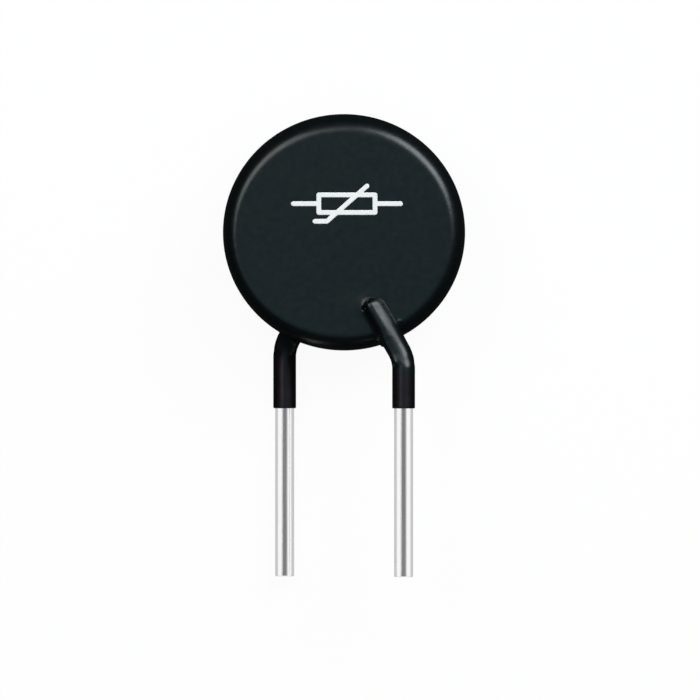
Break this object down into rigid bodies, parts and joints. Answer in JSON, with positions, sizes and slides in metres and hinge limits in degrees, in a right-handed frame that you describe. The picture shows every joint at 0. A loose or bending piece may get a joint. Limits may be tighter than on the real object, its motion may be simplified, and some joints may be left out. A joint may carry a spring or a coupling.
{
  "type": "thermistor",
  "caption": "Radial disc thermistor: a silvered ceramic disc dipped in black resin, with bent tinned wire leads for soldering through a circuit board",
  "frame": {"origin": "on the surface that the part lies on, under the middle of its outline", "axes": "+Y along the leads towards the disc, +Z out of the front face, +X from the back lead to the front one"},
  "size_m": [0.0102, 0.0194, 0.004],
  "materials": {
    "resin": "black dipped resin with a soft satin gloss",
    "print": "white ink, the printed symbol on the front face",
    "ceramic": "matt sintered dark grey metal oxide",
    "silver": "fired silver film, satin",
    "solder": "tin solder, satin",
    "lead": "bright tinned wire with fine draw lines"
  },
  "bodies": {
    "root": {"resin_coating": "resin", "ceramic_disc": "ceramic", "front_electrode": "silver", "back_electrode": "silver", "front_solder": "solder", "back_solder": "solder", "front_lead": "lead", "back_lead": "lead"}
  },
  "joints": []
}
